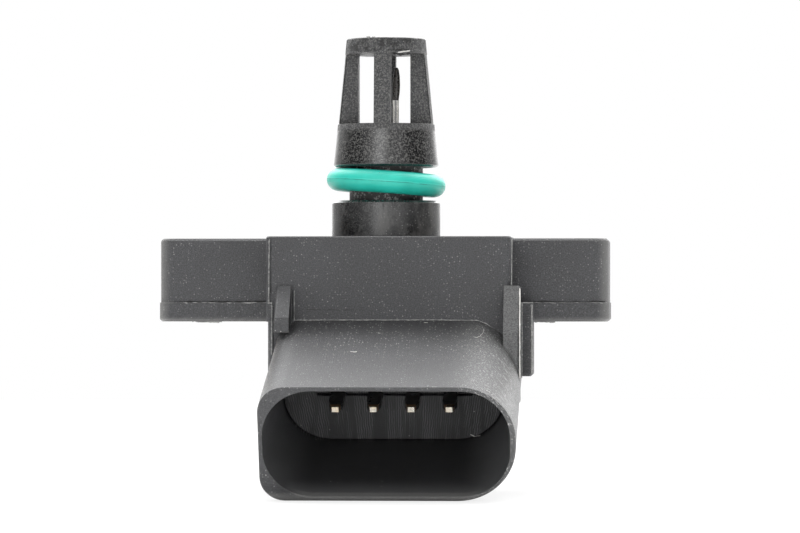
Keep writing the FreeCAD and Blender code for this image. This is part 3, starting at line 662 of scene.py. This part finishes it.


# Flash, witness lines, burrs, dirt, a stray hair, painted edge highlights and painted shade lines, where the
# photograph has them. Each row has a name, a shade, a thickness and its points, then its sway, its least
# radius and its step where they differ.
LINES = (
    # Where the shroud meets the block, and the edges of the block and the lower box: pale lines are painted
    # edge highlights and dark ones painted shade, but for a flash line on the lower box's right
    ("flash_root", "mid", 0.13, on_front(
        -14.03, (-8.978, -8.98), (-4.044, -8.958), (2.381, -8.956), (6.657, -8.954), (10.716, -8.996),
        (11.57, -9.326), (12.316, -9.859), (13.063, -10.605))),
    ("flash_block_upright", "mid", 0.13, on_front(-14.0, (-8.946, -5.8), (-8.946, -8.96))),
    ("gap_block_upright", "dark", 0.12, on_front(-14.0, (-9.12, -5.8), (-9.12, -8.8))),
    ("stain_block_low", "dark", 0.05, on_front(-14.0, (-7.905, -7.836), (-5.116, -7.868), (-1.366, -7.888))),
    ("flash_block_left", "mid", 0.14, on_front(-14.02, (-11.632, -0.29), (-11.684, -7.14))),
    ("groove_block_left", "dark", 0.12, on_front(-14.0, (-11.45, -0.29), (-11.5, -7.1))),
    ("blob_block_left", "mid", 0.3, on_front(-14.0, (-11.77, -7.14), (-11.34, -7.14))),
    ("flash_block_right", "mid", 0.1, on_front(-14.02, (14.345, -0.32), (14.29, -5.22))),
    ("flash_box_left", "mid", 0.12, on_front(-14.0, (-11.362, -7.3), (-11.393, -12.7))),
    ("groove_box_left", "dark", 0.1, on_front(-14.0, (-11.2, -7.3), (-11.22, -12.7))),
    ("flash_box_right", "mid", 0.1, on_front(-14.0, (15.41, -7.14), (15.408, -15.13))),
    # The ears' parting line, flash with a painted highlight on it and painted shade above it, and the burrs
    # under the ears
    ("flash_ear_left", "mid", 0.13, on_front(-8.22, (-24.0, -7.12), (-12.1, -7.12)), 0.04, -0.9, 0.34),
    ("shade_ear_left", "dark", 0.14, on_front(-8.02, (-22.0, -6.98), (-12.1, -6.96)), 0.04, -0.3, 0.4),
    ("flash_ear_right", "mid", 0.12, on_front(-8.22, (16.5, -7.12), (24.5, -7.12)), 0.04, -0.9, 0.34),
    ("shade_ear_right", "dark", 0.13, on_front(-8.02, (16.5, -6.96), (24.2, -6.98)), 0.04, -0.3, 0.4),
    ("burr_ear_left", "mid", 0.3, on_front(
        -7.7, (-20.6, -9.12), (-19.6, -9.2), (-18.4, -9.16), (-17.34, -9.12)), 0.04, 0.3),
    ("burr_ear_right", "mid", 0.26, on_front(-7.7, (16.52, -9.12), (17.6, -9.18), (18.79, -9.12)), 0.04, 0.3),
    # The shoulder and the rib on the right: painted highlights on their edges, and painted shadow beside the
    # rib
    ("wear_shoulder", "mid", 0.24, on_front(-11.25, (16.36, -7.3), (16.36, -14.8)), 0.01, 0.7),
    ("crest_shoulder", "mid", 0.14, on_front(-11.42, (14.9, -7.12), (16.5, -7.12)), 0.03, 0.4),
    ("wear_rib_right", "pale", 0.14, (
        (15.185, -14.33, -5.6), (15.246, -16.6, -10.42), (15.245, -16.6, -15.08)), 0.008, 0.8),
    ("gap_rib_right", "dark", 0.09, (
        (15.05, -14.35, -5.8), (15.09, -16.62, -10.5), (15.09, -16.62, -14.6)), 0.01, 0.5),
    # The shroud's top and rim
    ("hair", "pale", 0.055, in_plug(
        (9.473, 6.06, -17.207), (9.406, 6.07, -16.189), (9.132, 6.12, -15.03), (8.841, 6.2, -14.367),
        (8.526, 6.24, -14.309)), 0.05, 0.5),
    ("mark_top", "pale", 0.1, in_plug(
        (-4.254, 6.35, -10.0), (-3.9, 6.36, -9.88), (-3.565, 6.35, -9.92)), 0.02, 0.5),
    ("crumb_rim", "mid", 0.2, in_plug((4.75, 6.3, -0.25), (5.3, 6.3, -0.25)), 0.05, 0.3),
    ("dash_root_middle", "pale", 0.09, in_plug((3.0, 6.35, -18.37), (3.4, 6.35, -18.3))),
    ("dash_right", "pale", 0.09, in_plug((10.3, 5.66, -1.03), (10.7, 5.42, -1.03))),
    ("dash_left", "pale", 0.08, in_plug((-1.7, 6.35, -15.3), (-1.3, 6.35, -15.25))),
    # Inside the cavity: the painted shade of a notch, and a painted glint
    ("notch_cavity", "dark", 0.5, in_plug((-11.3, 2.3, -12.6), (-11.15, 1.2, -13.2)), 0.0, 0.9),
    ("glint_cavity", "pale", 0.13, in_plug(
        (8.0, -4.75, -13.9), (8.5, -4.9, -13.9), (9.1, -4.8, -13.9)), 0.05, 0.2),
    # The cage and its cap
    ("flash_cap_left", "mid", 0.2, on_front(-4.1, (-1.94, 20.2), (-1.4, 20.12), (-0.96, 20.16)), 0.03, 0.4),
    ("flash_cap_right", "dark", 0.26, on_front(
        -4.1, (1.02, 20.16), (1.8, 20.02), (2.4, 20.06), (2.87, 20.14)), 0.03, 0.4),
    ("sliver_cap_right", "pale", 0.12, on_front(
        -4.2, (1.57, 20.25), (2.225, 20.34), (2.88, 20.4)), 0.01, 0.5),
    ("arc_cap_right", "dark", 0.1, on_front(
        -4.32, (1.24, 20.49), (1.68, 20.58), (2.12, 20.62), (2.44, 20.57), (2.77, 20.48)), 0.01, 0.6),
    ("lump_cap_left", "mid", 0.24, on_front(-4.0, (-1.9, 21.9), (-1.5, 21.92)), 0.01, 0.8),
    ("lump_cap_right", "mid", 0.24, on_front(-4.0, (-1.3, 21.9), (-0.95, 21.91)), 0.01, 0.8),
    ("edge_cap_left", "mid", 0.07, on_front(-4.25, (-1.2, 21.86), (1.5, 21.86)), 0.02, 0.3),
    ("gap_rib_front", "dark", 0.09, on_front(-4.4, (0.72, 20.2), (0.72, 12.8)), 0.008, 0.6),
    ("gap_post_left", "dark", 0.1, ((-4.25, -1.53, 20.1), (-5.02, -1.53, 12.6)), 0.008, 0.6),
    ("gap_post_right", "dark", 0.1, ((4.25, -1.53, 20.1), (5.02, -1.53, 12.6)), 0.008, 0.6),
    # The top of the skirt, with a painted highlight along its edge, and the collar's seam
    ("crest_skirt_left", "mid", 0.09, (
        (-4.9, -2.0, 12.24), (-4.1, -3.35, 12.24), (-3.0, -4.36, 12.24)), 0.01, 0.5),
    ("crest_skirt_right", "mid", 0.09, (
        (3.0, -4.36, 12.24), (4.1, -3.35, 12.24), (4.9, -2.0, 12.24)), 0.01, 0.5),
    ("seam_collar", "dark", 0.06, on_front(-5.97, (0.038, 3.73), (0.038, 2.21))),
)


def uneven(points, step, sway, chance):
    """The points of a line every step or so, each swayed a little from the straight."""
    path = []
    for start, end in zip(points, points[1:]):
        start, end = Vector(start), Vector(end)
        count = max(1, round((end - start).length / step))
        path += [start.lerp(end, i / count) for i in range(count)]
    path.append(Vector(points[-1]))
    return [p + Vector(chance.uniform(-sway, sway) for _ in range(3)) for p in path]


def add_line(name, points, thickness, material, sway=0.015, least=0.35, step=0.22):
    """An uneven line on the surface, as one small piece in its own material, attached to the root body.
    Its radius varies from a least to 1.2 times the nominal one, and a least below 0 breaks it into dashes."""
    chance = random.Random(name)
    path = uneven(points, step, sway, chance)
    data = bpy.data.curves.new(name, "CURVE")
    data.dimensions = "3D"
    data.bevel_depth = thickness / 2 * MM
    data.bevel_resolution = 1
    data.use_fill_caps = True
    spline = data.splines.new("POLY")
    spline.points.add(len(path) - 1)
    for point, place in zip(spline.points, path):
        point.co = (*(place * MM), 1.0)
        point.radius = max(0.0, chance.uniform(least, 1.2))
    data.materials.append(material)
    line = bpy.data.objects.new(name, data)
    bpy.context.scene.collection.objects.link(line)
    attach(line, "root")


def add_lines():
    """All the thin lines, in their three shades."""
    shades = {
        "pale": plain_solid("marks_and_highlight_pale", (0.5, 0.49, 0.47), (0.7, 0.69, 0.66), roughness=0.5, scale=3.0),
        "mid": plain_solid("flash_and_highlight_mid", (0.13, 0.13, 0.126), (0.3, 0.3, 0.29), roughness=0.5, scale=3.0),
        "dark": plain_solid("gap_and_shade_dark", (0.004, 0.004, 0.004), (0.01, 0.01, 0.01), roughness=0.7, scale=3.0),
    }
    for name, shade, thickness, points, *variation in LINES:
        add_line(name, points, thickness, shades[shade], *variation)


def panel_light(nodes, direction, azimuth, elevation, inner, outer, strength):
    """A soft round patch of light on the world: full within the inner angle, none past the outer one."""
    toward = nodes.dot(direction, facing(azimuth, elevation))
    return nodes.ramp(toward, math.cos(math.radians(outer)), math.cos(math.radians(inner)), 0.0, strength)


def make_world():
    """A light tent: a white backdrop for the camera, soft panels above, behind and in front for the light."""
    world = bpy.data.worlds.new("studio")
    bpy.context.scene.world = world
    world.use_nodes = True
    world.node_tree.nodes.clear()
    nodes = Nodes(world.node_tree)
    direction = nodes.add("ShaderNodeTexCoord").outputs["Generated"]
    level = nodes.plus(*(panel_light(nodes, direction, *panel) for panel in PANELS), TENT_LEVEL)
    tent = nodes.add("ShaderNodeBackground", Color=WHITE, Strength=level)
    backdrop = nodes.add("ShaderNodeBackground", Color=WHITE, Strength=1.0)
    rays = nodes.add("ShaderNodeLightPath").outputs
    seen = nodes.math("MAXIMUM", rays["Is Camera Ray"], rays["Is Transmission Ray"])
    nodes.add("ShaderNodeOutputWorld", Surface=nodes.mix(seen, tent.outputs[0], backdrop.outputs[0]))


def floor_paper():
    """Pale matt paper that the camera sees nearly white, with the shadow kept. It is clear from below."""
    s = Shader("floor_paper")
    tone = s.blend(s.noise(0.02, detail=3.0), (0.86, 0.86, 0.86), (0.9, 0.9, 0.9))
    s.set(Base_Color=tone, Roughness=0.9, Specular_IOR_Level=0.0)
    white = s.add("ShaderNodeEmission", Strength=1.0).outputs[0]
    seen = s.times(s.add("ShaderNodeLightPath").outputs["Is Camera Ray"], FLOOR_WHITENESS)
    above = s.mix(seen, s.surface.outputs[0], white)
    backfacing = s.add("ShaderNodeNewGeometry").outputs["Backfacing"]
    clear = s.add("ShaderNodeBsdfTransparent").outputs[0]
    s.put(s.tree.nodes["Material Output"], "Surface", s.mix(backfacing, above, clear))
    return s.material


def make_floor():
    """A round floor just under the part's lowest edge."""
    lowest = CAD_BOX[0][2] / MM - FLOOR_GAP
    turns = [2 * math.pi * i / FLOOR_SIDES for i in range(FLOOR_SIDES)]
    corners = [mm(FLOOR_RADIUS * math.cos(turn), FLOOR_RADIUS * math.sin(turn), lowest) for turn in turns]
    mesh = bpy.data.meshes.new("floor")
    mesh.from_pydata(corners, [], [tuple(range(FLOOR_SIDES))])
    mesh.materials.append(floor_paper())
    floor = bpy.data.objects.new("floor", mesh)
    bpy.context.scene.collection.objects.link(floor)


def make_lamp(name, azimuth, elevation, distance, size, power):
    """A square soft box that faces the nozzle's foot."""
    back = facing(azimuth, elevation)
    data = bpy.data.lights.new(name, "AREA")
    data.size = size * MM
    data.energy = power
    lamp = bpy.data.objects.new(name, data)
    lamp.location = back * distance * MM
    lamp.rotation_euler = back.to_track_quat("Z", "Y").to_euler()
    bpy.context.scene.collection.objects.link(lamp)


def make_camera():
    """The photograph's camera: level and square to the flange but for a few degrees, from far off."""
    a = math.radians(CAMERA_AZIMUTH)
    right = Vector((math.cos(a), math.sin(a), 0))
    back = facing(CAMERA_AZIMUTH, 0)
    focal = PIXELS_PER_MM * CAMERA_DISTANCE
    pitch = math.atan((EYE_LEVEL_ROW - IMAGE_HEIGHT / 2) / focal)
    aside = (AXIS_COLUMN - IMAGE_WIDTH / 2) / PIXELS_PER_MM
    place = Vector((0, 0, EYE_LEVEL_Z)) + back * CAMERA_DISTANCE - right * aside
    backward = back * math.cos(pitch) - Vector((0, 0, 1)) * math.sin(pitch)
    up = backward.cross(right)
    data = bpy.data.cameras.new("camera")
    data.sensor_width = SENSOR_WIDTH
    data.sensor_fit = "HORIZONTAL"
    data.lens = focal * SENSOR_WIDTH / IMAGE_WIDTH
    data.clip_start = 10 * MM
    data.clip_end = 10.0
    camera = bpy.data.objects.new("camera", data)
    camera.matrix_world = Matrix((
        (right.x, up.x, backward.x, place.x * MM),
        (right.y, up.y, backward.y, place.y * MM),
        (right.z, up.z, backward.z, place.z * MM),
        (0, 0, 0, 1),
    ))
    bpy.context.scene.collection.objects.link(camera)
    bpy.context.scene.camera = camera


make_camera()
make_world()
make_lamp("front_box", azimuth=-10, elevation=12, distance=900, size=420, power=1.6)
make_floor()
dress_nodes(make_materials())
add_lines()
bpy.context.scene.view_settings.view_transform = "Standard"
